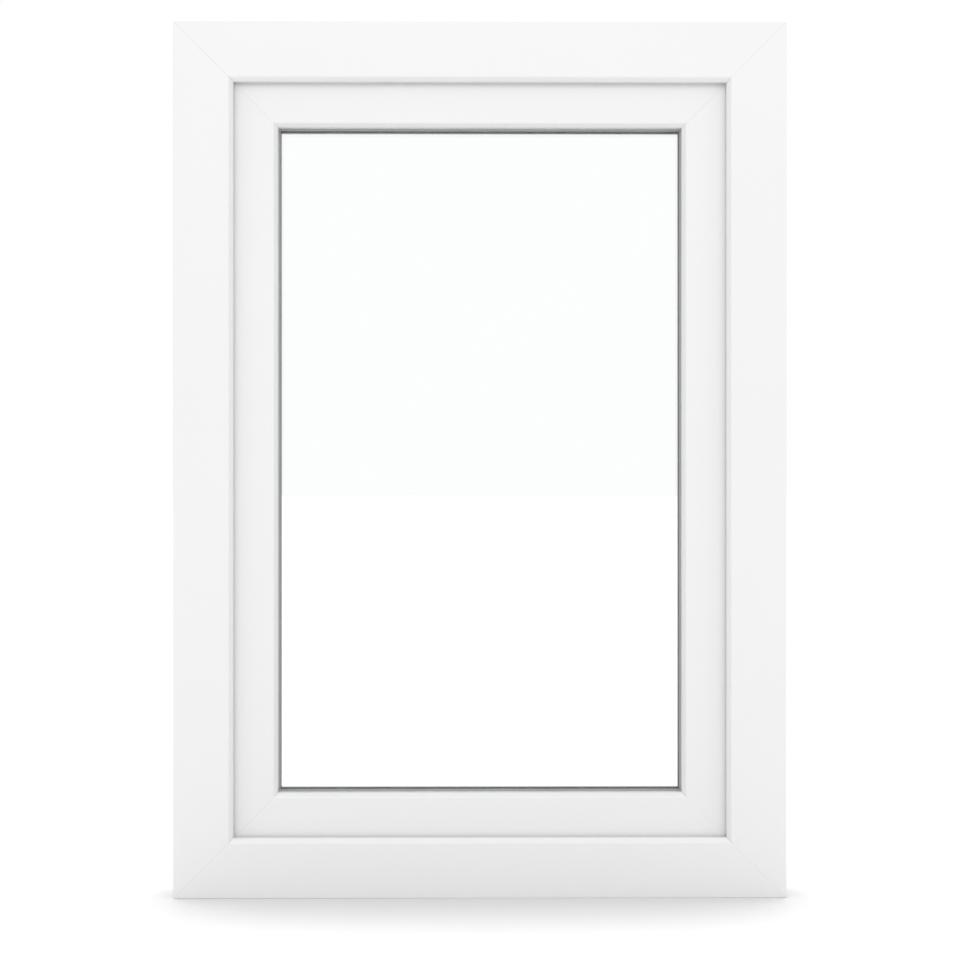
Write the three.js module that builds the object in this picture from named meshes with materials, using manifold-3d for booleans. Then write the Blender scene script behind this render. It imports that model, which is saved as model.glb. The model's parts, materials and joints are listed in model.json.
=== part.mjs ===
// A white PVC casement window, 700 by 1000 mm, side hung and opening into the room.
//
// Millimetres. +Z is up, +Y points into the room and -Y outdoors. The origin is the middle of the
// frame's underside, at half the frame's depth.
//
// The profiles are drawn as sections [u, y]: u runs from the window's outer edge towards the middle
// of the glass, and y is the depth. A bar lies along t, the third axis of its side. Each side of the
// window is a group turned about Y, so that the same section serves all four sides.
import * as THREE from "three";
import { mergeVertices } from "three/addons/utils/BufferGeometryUtils.js";
import Module from "manifold-3d";

const wasm = await Module();
wasm.setup();

// ---------------------------------------------------------------- driving dimensions
const WIDTH = 700;
const HEIGHT = 1000;

// Lines across the face, measured from the window's outer edge.
const FRAME_FACE = 68;
const LIP_HEIGHT = 20; // the frame's outer lip stands this far over its rebate
const REBATE = FRAME_FACE - LIP_HEIGHT;
const HARDWARE_GAP = 12; // between the frame's rebate and the sash's edge
const OVERLAP = 8; // the sash flange covers the frame by this much
const SASH_FACE = 78;
const SASH_EDGE = REBATE + HARDWARE_GAP;
const FLANGE_EDGE = REBATE - OVERLAP;
const SIGHT_LINE = FLANGE_EDGE + SASH_FACE;
const BEAD_HEIGHT = 20;
const GLAZING_REBATE = SIGHT_LINE - BEAD_HEIGHT;
const BLOCK_GAP = 5; // between the glazing rebate and the edge of the glass
const GLASS_EDGE = GLAZING_REBATE + BLOCK_GAP;

// Lines through the depth.
const FRAME_DEPTH = 70;
const SASH_DEPTH = 70;
const OUTSIDE = -FRAME_DEPTH / 2;
const INSIDE = FRAME_DEPTH / 2;
const LIP_DEPTH = 12;
const SEAL_GAP = 3.5;
const LIP_BACK = OUTSIDE + LIP_DEPTH;
const SASH_OUTSIDE = LIP_BACK + SEAL_GAP;
const SASH_INSIDE = SASH_OUTSIDE + SASH_DEPTH;
const FLANGE_BACK = INSIDE + SEAL_GAP;
const SASH_LIP_BACK = SASH_OUTSIDE + 14.5;
const GLASS_OUTSIDE = SASH_LIP_BACK + 4;
const PANE = 4;
const CAVITY = 16;
const GLASS_INSIDE = GLASS_OUTSIDE + 2 * PANE + CAVITY;
const BEAD_FRONT = GLASS_INSIDE + 3.7;

const CHAMFER = 5; // on the lips' edges, towards the glass
const WALL = 3; // of the profiles
const SEAL_GROOVE = 3.2; // width and depth
const MITRE_CUT = 0.2; // each bar's end stands back from the mitre by this, along the bar
const FIT = 0.2; // between pieces that touch
const ROUND = 32; // sides of a turned piece

// Hardware groove round the sash's edge: a seat for the faceplate over a channel for the rod.
const GROOVE_AXIS = FLANGE_BACK - 13;
const SEAT_WIDTH = 16;
const SEAT_DEPTH = 3;
const CHANNEL_WIDTH = 12;
const CHANNEL_DEPTH = 9;

// The pinion on the handle's spindle moves the rod through a rack.
const MODULE = 1.25;
const PINION_TEETH = 16;
const PINION_RADIUS = (MODULE * PINION_TEETH) / 2;
const STROKE = Math.PI * PINION_RADIUS; // the rod rises by this in half a turn of the handle, to lock
const ADDENDUM = 1;
const DEDENDUM = 1.3;
const PRESSURE_ANGLE = THREE.MathUtils.degToRad(20);
const BACKLASH = 0.3;
const ROD_OUTSIDE = SASH_EDGE + SEAT_DEPTH;
const ROD_THICKNESS = 4;
const PITCH_LINE = ROD_OUTSIDE + ROD_THICKNESS - ADDENDUM;
const SPINDLE_LINE = PITCH_LINE + PINION_RADIUS;
const SCREW_SPACING = 43; // between the handle's two screws
const CAM_SPACING = 320;

// Hinges: the axis is beside the sash flange, in front of the frame's inner face.
const HINGE_LINE = FLANGE_EDGE - 9;
const HINGE_DEPTH = INSIDE + 8.5;
const KNUCKLE = { radius: 6.5, height: 32, fromCorner: 64 };
const PIN_RADIUS = 3;
const BORE_RADIUS = 3.2;

// ---------------------------------------------------------------- materials
function material(color, roughness, metalness = 0) {
  return new THREE.MeshStandardMaterial({ color, roughness, metalness });
}
const WHITE_PVC = material(0xf1f1f1, 0.35);
const GREY_SEAL = material(0xa9abad, 0.7);
const GALVANISED = material(0xa8adb2, 0.45, 0.9);
const BRIGHT_STEEL = material(0xc2c5c8, 0.3, 0.95);
const DIE_CAST = material(0x9a9da1, 0.5, 0.8);
const WHITE_METAL = material(0xf0f0f0, 0.3);
const BLACK_SPACER = material(0x242527, 0.6);
const BLACK_SEALANT = material(0x151617, 0.8);
const BLOCK_PLASTIC = material(0x2f6db3, 0.5);
const CLEAR_GLASS = new THREE.MeshPhysicalMaterial({
  color: 0xf4faf8,
  roughness: 0.02,
  transmission: 1,
  thickness: PANE,
});

// ---------------------------------------------------------------- solids
function solid(geometry) {
  const bare = geometry.clone();
  bare.deleteAttribute("normal");
  bare.deleteAttribute("uv");
  const merged = mergeVertices(bare, 1e-4);
  const mesh = new wasm.Mesh({
    numProp: 3,
    vertProperties: merged.attributes.position.array,
    triVerts: new Uint32Array(merged.index.array),
  });
  return new wasm.Manifold(mesh);
}

function geometryOf(manifold) {
  const mesh = manifold.getMesh();
  const geometry = new THREE.BufferGeometry();
  geometry.setAttribute("position", new THREE.BufferAttribute(mesh.vertProperties, 3));
  geometry.setIndex(new THREE.BufferAttribute(mesh.triVerts, 1));
  geometry.computeVertexNormals();
  return geometry;
}

function join(...geometries) {
  return geometryOf(geometries.map(solid).reduce((all, one) => all.add(one)));
}

function cut(geometry, ...tools) {
  return geometryOf(tools.map(solid).reduce((left, tool) => left.subtract(tool), solid(geometry)));
}

// A shape in the plane of the section, from corner points.
function outline(points) {
  return new THREE.Shape(points.map(([u, y]) => new THREE.Vector2(u, y)));
}

function rectangle(u0, u1, y0, y1) {
  return [[u0, y0], [u1, y0], [u1, y1], [u0, y1]];
}

// A straight length of a section, from t0 to t1.
function prism(shape, t0, t1) {
  const geometry = new THREE.ExtrudeGeometry(shape, { depth: t1 - t0, bevelEnabled: false, curveSegments: 10 });
  return geometry.translate(0, 0, t0);
}

function block(u0, u1, y0, y1, t0, t1) {
  const geometry = new THREE.BoxGeometry(u1 - u0, y1 - y0, t1 - t0);
  return geometry.translate((u0 + u1) / 2, (y0 + y1) / 2, (t0 + t1) / 2);
}

// Round bars: one along the side, one through the depth.
function barAlong(u, y, radius, t0, t1) {
  const geometry = new THREE.CylinderGeometry(radius, radius, t1 - t0, ROUND);
  return geometry.rotateX(Math.PI / 2).translate(u, y, (t0 + t1) / 2);
}

function barThrough(u, t, radius, y0, y1) {
  const geometry = new THREE.CylinderGeometry(radius, radius, y1 - y0, ROUND);
  return geometry.translate(u, (y0 + y1) / 2, t);
}

// A section cut at 45 degrees at both ends, for a side of the given outer length. The chambers run
// right through, and are drawn a little longer than the bar.
function mitred(points, length, extra) {
  const geometry = new THREE.ExtrudeGeometry(outline(points), { depth: 1, bevelEnabled: false });
  const position = geometry.attributes.position;
  for (let i = 0; i < position.count; i++) {
    const end = position.getZ(i) < 0.5 ? -1 : 1;
    position.setZ(i, end * (length / 2 - position.getX(i) - MITRE_CUT + extra));
  }
  return geometry;
}

function mitredBar({ outside, chambers }, length) {
  return cut(mitred(outside, length, 0), ...chambers.map((chamber) => mitred(chamber, length, 5)));
}

// A section carried round all four sides in one piece, about the middle of the window. A square
// ring of four lathe segments is stretched to the window's height.
function ring(points) {
  const profile = [...points, points[0]].reverse();
  const corners = profile.map(([u, y]) => new THREE.Vector2(Math.SQRT2 * (WIDTH / 2 - u), y));
  const geometry = new THREE.LatheGeometry(corners, 4, Math.PI / 4);
  const position = geometry.attributes.position;
  for (let i = 0; i < position.count; i++) {
    const z = position.getZ(i);
    position.setZ(i, HEIGHT / 2 + z + (Math.sign(z) * (HEIGHT - WIDTH)) / 2);
  }
  return geometry;
}

// ---------------------------------------------------------------- the window's four sides
const window = new THREE.Group();

const SIDES = {
  hinge: { turn: 0, at: [-WIDTH / 2, 0, HEIGHT / 2], length: HEIGHT },
  head: { turn: Math.PI / 2, at: [0, 0, HEIGHT], length: WIDTH },
  lock: { turn: Math.PI, at: [WIDTH / 2, 0, HEIGHT / 2], length: HEIGHT },
  sill: { turn: -Math.PI / 2, at: [0, 0, 0], length: WIDTH },
};
for (const side of Object.values(SIDES)) {
  side.group = new THREE.Group();
  side.group.rotation.y = side.turn;
  side.group.position.set(...side.at);
  window.add(side.group);
}

function add(name, geometry, finish, parent = window) {
  const mesh = new THREE.Mesh(geometry, finish.clone());
  mesh.name = name;
  parent.add(mesh);
  return mesh;
}

// ---------------------------------------------------------------- outer frame
// L section: a body with chambers, and the lip that stands in front of the sash. The rebate has a
// drainage trough behind the lip, and the outer edge has two grooves for wall anchors.
const ANCHOR_GROOVE = 4;
const TROUGH = REBATE - 5;
const lipSeal = { from: FRAME_FACE - 7, to: FRAME_FACE - 7 + SEAL_GROOVE };

const frameOutline = [
  [0, OUTSIDE],
  [FRAME_FACE - CHAMFER, OUTSIDE],
  [FRAME_FACE, OUTSIDE + CHAMFER],
  [FRAME_FACE, LIP_BACK - 1],
  [FRAME_FACE - 1, LIP_BACK],
  [lipSeal.to, LIP_BACK],
  [lipSeal.to, LIP_BACK - SEAL_GROOVE],
  [lipSeal.from, LIP_BACK - SEAL_GROOVE],
  [lipSeal.from, LIP_BACK],
  [TROUGH + 3, LIP_BACK],
  [TROUGH, LIP_BACK + 3],
  [TROUGH, LIP_BACK + 9],
  [REBATE, LIP_BACK + 14],
  [REBATE, INSIDE - 1],
  [REBATE - 1, INSIDE],
  [1, INSIDE],
  [0, INSIDE - 1],
  [0, 21],
  [ANCHOR_GROOVE, 21],
  [ANCHOR_GROOVE, 13],
  [0, 13],
  [0, -11],
  [ANCHOR_GROOVE, -11],
  [ANCHOR_GROOVE, -19],
  [0, -19],
];
const FRAME_STEEL_CHAMBER = [WALL, REBATE - WALL, -7.5, 11];
const frameChambers = [
  rectangle(WALL, TROUGH - 2.5, OUTSIDE + WALL, LIP_BACK + 0.5),
  rectangle(TROUGH + 0.5, lipSeal.from - 2.5, OUTSIDE + WALL, LIP_BACK - WALL),
  rectangle(ANCHOR_GROOVE + WALL, TROUGH - 2.5, -20, -10),
  rectangle(...FRAME_STEEL_CHAMBER),
  rectangle(ANCHOR_GROOVE + WALL, REBATE - WALL, 13, 22),
  rectangle(WALL, REBATE - WALL, 24, INSIDE - WALL),
];
const frameSection = { outside: frameOutline, chambers: frameChambers };

const DRAIN_LENGTH = 28;
function drainSlots(u0, u1, y0, y1, places) {
  return places.map((t) => block(u0, u1, y0, y1, t - DRAIN_LENGTH / 2, t + DRAIN_LENGTH / 2));
}

// Rain that gets past the seal runs from the trough into the front chamber and out underneath.
const sillDrains = [
  ...drainSlots(TROUGH - 4, TROUGH + 1, -19, -14.5, [-170, 170]),
  ...drainSlots(ANCHOR_GROOVE - 1, ANCHOR_GROOVE + WALL + 1, -17.5, -12.5, [-230, 230]),
];
add("frame_sill", cut(mitredBar(frameSection, WIDTH), ...sillDrains), WHITE_PVC, SIDES.sill.group);
add("frame_head", mitredBar(frameSection, WIDTH), WHITE_PVC, SIDES.head.group);
add("frame_hinge_jamb", mitredBar(frameSection, HEIGHT), WHITE_PVC, SIDES.hinge.group);
add("frame_lock_jamb", mitredBar(frameSection, HEIGHT), WHITE_PVC, SIDES.lock.group);

// Galvanised channels in the large chambers, cut square short of the mitres.
const STEEL = 1.5;
function steelChannel([u0, u1, y0, y1], length) {
  const clear = 0.8;
  const [a, b, c, d] = [u0 + clear, u1 - clear, y0 + clear, y1 - clear];
  const section = [[a, c], [b, c], [b, c + STEEL], [a + STEEL, c + STEEL], [a + STEEL, d - STEEL], [b, d - STEEL], [b, d], [a, d]];
  const half = length / 2 - u1 - 2;
  return prism(outline(section), -half, half);
}
for (const [side, bar] of [["sill", "sill"], ["head", "head"], ["hinge", "hinge_jamb"], ["lock", "lock_jamb"]]) {
  const channel = steelChannel(FRAME_STEEL_CHAMBER, SIDES[side].length);
  add(`frame_${bar}_steel`, channel, GALVANISED, SIDES[side].group);
}

// The frame's seal: a foot in the lip's groove and a bulb that the sash's outer face closes on.
add(
  "frame_seal",
  ring([
    [lipSeal.from + 0.3, LIP_BACK - SEAL_GROOVE + FIT],
    [lipSeal.to - 0.3, LIP_BACK - SEAL_GROOVE + FIT],
    [lipSeal.to - 0.3, LIP_BACK + FIT],
    [FRAME_FACE - 1.6, LIP_BACK + FIT],
    [FRAME_FACE - 0.2, LIP_BACK + 1.4],
    [FRAME_FACE - 1, SASH_OUTSIDE - FIT],
    [lipSeal.from - 0.5, SASH_OUTSIDE - FIT],
    [lipSeal.from - 1.5, LIP_BACK + 1.6],
    [lipSeal.from + 0.3, LIP_BACK + FIT],
  ]),
  GREY_SEAL,
);

// ---------------------------------------------------------------- sash
// Z section: a body with chambers, the lip in front of the glass, and the flange that closes over
// the frame from the room. The edge carries the hardware groove.
const sashLipSeal = { from: SIGHT_LINE - 6, to: SIGHT_LINE - 6 + SEAL_GROOVE };
const flangeSeal = { from: FLANGE_EDGE + 3, to: FLANGE_EDGE + 3 + SEAL_GROOVE };
const beadGroove = { from: BEAD_FRONT + 1.3, to: BEAD_FRONT + 1.3 + SEAL_GROOVE, depth: 4.5 };

const sashOutline = [
  [SASH_EDGE, SASH_OUTSIDE + 12],
  [SASH_EDGE + 3, SASH_OUTSIDE],
  [SIGHT_LINE - CHAMFER, SASH_OUTSIDE],
  [SIGHT_LINE, SASH_OUTSIDE + CHAMFER],
  [SIGHT_LINE, SASH_LIP_BACK - 1],
  [SIGHT_LINE - 1, SASH_LIP_BACK],
  [sashLipSeal.to, SASH_LIP_BACK],
  [sashLipSeal.to, SASH_LIP_BACK - SEAL_GROOVE],
  [sashLipSeal.from, SASH_LIP_BACK - SEAL_GROOVE],
  [sashLipSeal.from, SASH_LIP_BACK],
  [GLAZING_REBATE, SASH_LIP_BACK],
  [GLAZING_REBATE, beadGroove.from],
  [GLAZING_REBATE - beadGroove.depth, beadGroove.from],
  [GLAZING_REBATE - beadGroove.depth, beadGroove.to],
  [GLAZING_REBATE, beadGroove.to],
  [GLAZING_REBATE, SASH_INSIDE],
  [FLANGE_EDGE + 3, SASH_INSIDE],
  [FLANGE_EDGE, SASH_INSIDE - 3],
  [FLANGE_EDGE, FLANGE_BACK + 1],
  [FLANGE_EDGE + 1, FLANGE_BACK],
  [flangeSeal.from, FLANGE_BACK],
  [flangeSeal.from, FLANGE_BACK + SEAL_GROOVE],
  [flangeSeal.to, FLANGE_BACK + SEAL_GROOVE],
  [flangeSeal.to, FLANGE_BACK],
  [SASH_EDGE, FLANGE_BACK],
  [SASH_EDGE, GROOVE_AXIS + SEAT_WIDTH / 2],
  [SASH_EDGE + SEAT_DEPTH, GROOVE_AXIS + SEAT_WIDTH / 2],
  [SASH_EDGE + SEAT_DEPTH, GROOVE_AXIS + CHANNEL_WIDTH / 2],
  [SASH_EDGE + CHANNEL_DEPTH, GROOVE_AXIS + CHANNEL_WIDTH / 2],
  [SASH_EDGE + CHANNEL_DEPTH, GROOVE_AXIS - CHANNEL_WIDTH / 2],
  [SASH_EDGE + SEAT_DEPTH, GROOVE_AXIS - CHANNEL_WIDTH / 2],
  [SASH_EDGE + SEAT_DEPTH, GROOVE_AXIS - SEAT_WIDTH / 2],
  [SASH_EDGE, GROOVE_AXIS - SEAT_WIDTH / 2],
];
const CORE_TOP = GLAZING_REBATE - 2.5;
const GEAR_CHAMBER = [SASH_EDGE + CHANNEL_DEPTH + 2.5, CORE_TOP - beadGroove.depth, 17.5, 34];
const SASH_STEEL_CHAMBER = [SASH_EDGE + WALL, CORE_TOP, 1, 15];
const sashChambers = [
  rectangle(SASH_EDGE + WALL + 2.5, CORE_TOP, SASH_OUTSIDE + WALL, -1),
  rectangle(GLAZING_REBATE + 2.5, sashLipSeal.from - 2.5, SASH_OUTSIDE + WALL, SASH_LIP_BACK - WALL),
  rectangle(...SASH_STEEL_CHAMBER),
  rectangle(...GEAR_CHAMBER),
  rectangle(SASH_EDGE + WALL, CORE_TOP, 36.5, SASH_INSIDE - WALL),
  rectangle(flangeSeal.to + 2.8, SASH_EDGE + 0.5, FLANGE_BACK + WALL, SASH_INSIDE - WALL),
];
const sashSection = { outside: sashOutline, chambers: sashChambers };

// The lock stile is milled out for the gear case, and drilled for the spindle and the screws.
const GEAR_CASE_LENGTH = 110;
const stileCuts = [
  block(
    SASH_EDGE + SEAT_DEPTH,
    GEAR_CHAMBER[1],
    GROOVE_AXIS - CHANNEL_WIDTH / 2,
    GROOVE_AXIS + CHANNEL_WIDTH / 2,
    -GEAR_CASE_LENGTH / 2 - 2,
    GEAR_CASE_LENGTH / 2 + 2,
  ),
  barThrough(SPINDLE_LINE, 0, 7, GROOVE_AXIS, SASH_INSIDE + 1),
  barThrough(SPINDLE_LINE, SCREW_SPACING / 2, 4, GROOVE_AXIS, SASH_INSIDE + 1),
  barThrough(SPINDLE_LINE, -SCREW_SPACING / 2, 4, GROOVE_AXIS, SASH_INSIDE + 1),
];
// Water under the glass leaves through the front chamber.
const railDrains = [
  ...drainSlots(CORE_TOP - 1, GLAZING_REBATE + 1, -4.6, -1.4, [-150, 150]),
  ...drainSlots(SASH_EDGE - 1, SASH_EDGE + WALL + 3.5, -12, -8, [-200, 200]),
];
add("sash_top_rail", mitredBar(sashSection, WIDTH), WHITE_PVC, SIDES.head.group);
add("sash_bottom_rail", cut(mitredBar(sashSection, WIDTH), ...railDrains), WHITE_PVC, SIDES.sill.group);
add("sash_hinge_stile", mitredBar(sashSection, HEIGHT), WHITE_PVC, SIDES.hinge.group);
add("sash_lock_stile", cut(mitredBar(sashSection, HEIGHT), ...stileCuts), WHITE_PVC, SIDES.lock.group);

for (const [side, bar] of [["sill", "bottom_rail"], ["head", "top_rail"], ["hinge", "hinge_stile"], ["lock", "lock_stile"]]) {
  const channel = steelChannel(SASH_STEEL_CHAMBER, SIDES[side].length);
  add(`sash_${bar}_steel`, channel, GALVANISED, SIDES[side].group);
}

add(
  "sash_seal",
  ring([
    [flangeSeal.from + 0.3, FLANGE_BACK + SEAL_GROOVE - FIT],
    [flangeSeal.from + 0.3, FLANGE_BACK - FIT],
    [flangeSeal.from - 1.4, FLANGE_BACK - 1.6],
    [flangeSeal.from - 0.4, INSIDE + FIT],
    [flangeSeal.to - 0.2, INSIDE + FIT],
    [flangeSeal.to + 0.8, FLANGE_BACK - 1.6],
    [flangeSeal.to - 0.3, FLANGE_BACK - FIT],
    [flangeSeal.to - 0.3, FLANGE_BACK + SEAL_GROOVE - FIT],
  ]),
  GREY_SEAL,
);

// ---------------------------------------------------------------- glazing
const glassWidth = WIDTH - 2 * GLASS_EDGE;
const glassHeight = HEIGHT - 2 * GLASS_EDGE;
function pane(name, y) {
  const geometry = new THREE.BoxGeometry(glassWidth, PANE, glassHeight);
  add(name, geometry.translate(0, y + PANE / 2, HEIGHT / 2), CLEAR_GLASS);
}
pane("glass_outer_pane", GLASS_OUTSIDE);
pane("glass_inner_pane", GLASS_INSIDE - PANE);

const SPACER_LINE = SIGHT_LINE + 0.5; // the spacer's inner face
const SEALANT = 5.5;
const cavityFrom = GLASS_OUTSIDE + PANE + FIT / 2;
const cavityTo = GLASS_INSIDE - PANE - FIT / 2;
add("glass_spacer", ring(rectangle(GLASS_EDGE + SEALANT + FIT, SPACER_LINE, cavityFrom, cavityTo)), BLACK_SPACER);
add("glass_edge_sealant", ring(rectangle(GLASS_EDGE, GLASS_EDGE + SEALANT, cavityFrom, cavityTo)), BLACK_SEALANT);

// The outer gasket sits on the sash's lip and shows 2 mm past it. The inner one, on the beads, shows less.
const GASKET_SIGHT = SIGHT_LINE + 2;
const BEAD_GASKET_SIGHT = SIGHT_LINE + 0.8;
add(
  "glass_outer_gasket",
  ring([
    [sashLipSeal.from + 0.3, SASH_LIP_BACK - SEAL_GROOVE + FIT],
    [sashLipSeal.to - 0.3, SASH_LIP_BACK - SEAL_GROOVE + FIT],
    [sashLipSeal.to - 0.3, SASH_LIP_BACK + FIT],
    [SIGHT_LINE + 0.4, SASH_LIP_BACK + FIT],
    [GASKET_SIGHT, SASH_LIP_BACK + 1.4],
    [GASKET_SIGHT, GLASS_OUTSIDE - FIT],
    [sashLipSeal.from - 2.5, GLASS_OUTSIDE - FIT],
    [sashLipSeal.from - 2.5, SASH_LIP_BACK + 1.4],
    [sashLipSeal.from + 0.3, SASH_LIP_BACK + FIT],
  ]),
  GREY_SEAL,
);
add(
  "glass_bead_gasket",
  ring([
    [sashLipSeal.from + 0.3, BEAD_FRONT + SEAL_GROOVE - FIT],
    [sashLipSeal.from + 0.3, BEAD_FRONT - FIT],
    [sashLipSeal.from - 2.5, BEAD_FRONT - 1.4],
    [sashLipSeal.from - 2.5, GLASS_INSIDE + FIT],
    [BEAD_GASKET_SIGHT, GLASS_INSIDE + FIT],
    [BEAD_GASKET_SIGHT, BEAD_FRONT - 1.4],
    [SIGHT_LINE + 0.2, BEAD_FRONT - FIT],
    [sashLipSeal.to - 0.3, BEAD_FRONT - FIT],
    [sashLipSeal.to - 0.3, BEAD_FRONT + SEAL_GROOVE - FIT],
  ]),
  GREY_SEAL,
);

// Glazing beads, hollow, with a leg that snaps into the sash's groove.
const beadFoot = GLAZING_REBATE + FIT;
const beadLeg = { from: beadGroove.from + 0.3, to: beadGroove.to - 0.3, end: GLAZING_REBATE - 4 };
const beadOutline = [
  [beadFoot, BEAD_FRONT],
  [sashLipSeal.from, BEAD_FRONT],
  [sashLipSeal.from, BEAD_FRONT + SEAL_GROOVE],
  [sashLipSeal.to, BEAD_FRONT + SEAL_GROOVE],
  [sashLipSeal.to, BEAD_FRONT],
  [SIGHT_LINE, BEAD_FRONT],
  [SIGHT_LINE, SASH_INSIDE - 12],
  [SIGHT_LINE - 9, SASH_INSIDE - FIT],
  [beadFoot, SASH_INSIDE - FIT],
  [beadFoot, beadLeg.to],
  [beadLeg.end, beadLeg.to],
  [beadLeg.end, beadLeg.from],
  [beadFoot, beadLeg.from],
];
const beadChamber = [
  [beadFoot + 2.2, BEAD_FRONT + 5.5],
  [SIGHT_LINE - 2.2, BEAD_FRONT + 5.5],
  [SIGHT_LINE - 2.2, SASH_INSIDE - 12.6],
  [SIGHT_LINE - 10, SASH_INSIDE - 2.4],
  [beadFoot + 2.2, SASH_INSIDE - 2.4],
];
const beadSection = { outside: beadOutline, chambers: [beadChamber] };
for (const [side, name] of [["sill", "bottom"], ["head", "top"], ["hinge", "hinge_side"], ["lock", "lock_side"]]) {
  add(`bead_${name}`, mitredBar(beadSection, SIDES[side].length), WHITE_PVC, SIDES[side].group);
}

// Blocks carry the glass at the low hinge corner and, diagonally, at the high lock corner.
const BLOCK_LENGTH = 100;
function glazingBlock(name, side, t) {
  const geometry = block(
    GLAZING_REBATE + FIT,
    GLASS_EDGE - FIT,
    GLASS_OUTSIDE,
    GLASS_INSIDE,
    t - BLOCK_LENGTH / 2,
    t + BLOCK_LENGTH / 2,
  );
  add(name, geometry, BLOCK_PLASTIC, SIDES[side].group);
}
glazingBlock("block_bottom_hinge_corner", "sill", 150);
glazingBlock("block_bottom_lock_corner", "sill", -150);
glazingBlock("block_hinge_side_low", "hinge", -300);
glazingBlock("block_lock_side_high", "lock", -300);

// ---------------------------------------------------------------- hinges
// Each hinge has a bracket on the frame's inner face, a bracket on the sash's inner face, a pin
// through both knuckles, and a snap-on cover over each bracket. The lower hinge has the frame's
// knuckle below, so that the sash rests on it; the upper hinge is its mirror image.
const KNUCKLE_GAP = 0.6;
const COVER_WALL = 1.2;
const COVER_RADIUS = KNUCKLE.radius + 0.3 + COVER_WALL;
const LEAF = { thickness: 3, frameEdge: HINGE_LINE - 20, sashEdge: HINGE_LINE + 34 };

// Section of a cover: round over the knuckle, and flat over the leaf. `grow` moves every side out.
function coverSection(grow) {
  const radius = KNUCKLE.radius + grow;
  return {
    frame: [LEAF.frameEdge - grow, HINGE_LINE, INSIDE + FIT, INSIDE + FIT + LEAF.thickness + grow],
    sash: [HINGE_LINE, LEAF.sashEdge + grow, SASH_INSIDE + FIT, SASH_INSIDE + FIT + LEAF.thickness + grow],
    radius,
  };
}

function hinge(name, up) {
  const parts = new THREE.Group();
  parts.position.z = -up * (HEIGHT / 2 - KNUCKLE.fromCorner);
  const span = (from, to) => (up > 0 ? [from, to] : [-to, -from]);
  const [frameFrom, frameTo] = span(0, KNUCKLE.height);
  const [sashFrom, sashTo] = span(KNUCKLE.height + KNUCKLE_GAP, 2 * KNUCKLE.height + KNUCKLE_GAP);
  const bore = barAlong(HINGE_LINE, HINGE_DEPTH, BORE_RADIUS, -4 * KNUCKLE.height, 4 * KNUCKLE.height);
  const inner = coverSection(0);
  const outer = coverSection(0.3 + COVER_WALL);
  const hollow = coverSection(0.3);

  const frameBracket = join(
    barAlong(HINGE_LINE, HINGE_DEPTH, inner.radius, frameFrom, frameTo),
    block(...inner.frame, frameFrom, frameTo),
  );
  add(`hinge_${name}_frame_bracket`, cut(frameBracket, bore), WHITE_METAL, parts);

  // The sash's leaf cranks over the flange's edge to reach the knuckle.
  const crank = block(HINGE_LINE - 2, FLANGE_EDGE - 1.2, HINGE_DEPTH + 3, inner.sash[3], sashFrom, sashTo);
  const sashBracket = join(
    barAlong(HINGE_LINE, HINGE_DEPTH, inner.radius, sashFrom, sashTo),
    crank,
    block(...inner.sash, sashFrom, sashTo),
  );
  add(`hinge_${name}_sash_bracket`, cut(sashBracket, bore), WHITE_METAL, parts);

  const [pinFrom, pinTo] = span(1, 2 * KNUCKLE.height - 1);
  add(`hinge_${name}_pin`, barAlong(HINGE_LINE, HINGE_DEPTH, PIN_RADIUS, pinFrom, pinTo), BRIGHT_STEEL, parts);

  // Covers are closed at their far end and open towards the other knuckle and towards the profile.
  const [frameCapFrom, frameCapTo] = span(-COVER_WALL, KNUCKLE.height);
  const frameShell = join(
    barAlong(HINGE_LINE, HINGE_DEPTH, outer.radius, frameCapFrom, frameCapTo),
    block(...outer.frame, frameCapFrom, frameCapTo),
  );
  const [frameRoomFrom, frameRoomTo] = span(-0.2, KNUCKLE.height + 1);
  const frameRoom = join(
    barAlong(HINGE_LINE, HINGE_DEPTH, hollow.radius, frameRoomFrom, frameRoomTo),
    block(hollow.frame[0], hollow.frame[1], INSIDE, hollow.frame[3], frameRoomFrom, frameRoomTo),
    block(HINGE_LINE - 1, HINGE_LINE + 1, INSIDE, HINGE_DEPTH, frameRoomFrom, frameRoomTo),
  );
  add(`hinge_${name}_frame_cover`, cut(frameShell, frameRoom), WHITE_PVC, parts);

  const [sashCapFrom, sashCapTo] = span(KNUCKLE.height + KNUCKLE_GAP, 2 * KNUCKLE.height + KNUCKLE_GAP + COVER_WALL);
  const sashShell = join(
    barAlong(HINGE_LINE, HINGE_DEPTH, outer.radius, sashCapFrom, sashCapTo),
    block(...outer.sash, sashCapFrom, sashCapTo),
    block(HINGE_LINE - 2, FLANGE_EDGE - 0.6, HINGE_DEPTH + 3, outer.sash[3], sashCapFrom, sashCapTo),
  );
  const [sashRoomFrom, sashRoomTo] = span(KNUCKLE.height, 2 * KNUCKLE.height + KNUCKLE_GAP + 0.2);
  const sashRoom = join(
    barAlong(HINGE_LINE, HINGE_DEPTH, hollow.radius, sashRoomFrom, sashRoomTo),
    block(HINGE_LINE - 3, hollow.sash[1], SASH_INSIDE - 1, hollow.sash[3], sashRoomFrom, sashRoomTo),
    block(HINGE_LINE - 3, FLANGE_EDGE - 0.9, HINGE_DEPTH + 2, hollow.sash[3], sashRoomFrom, sashRoomTo),
  );
  add(`hinge_${name}_sash_cover`, cut(sashShell, sashRoom), WHITE_PVC, parts);
  SIDES.hinge.group.add(parts);
}
hinge("lower", 1);
hinge("upper", -1);

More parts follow.
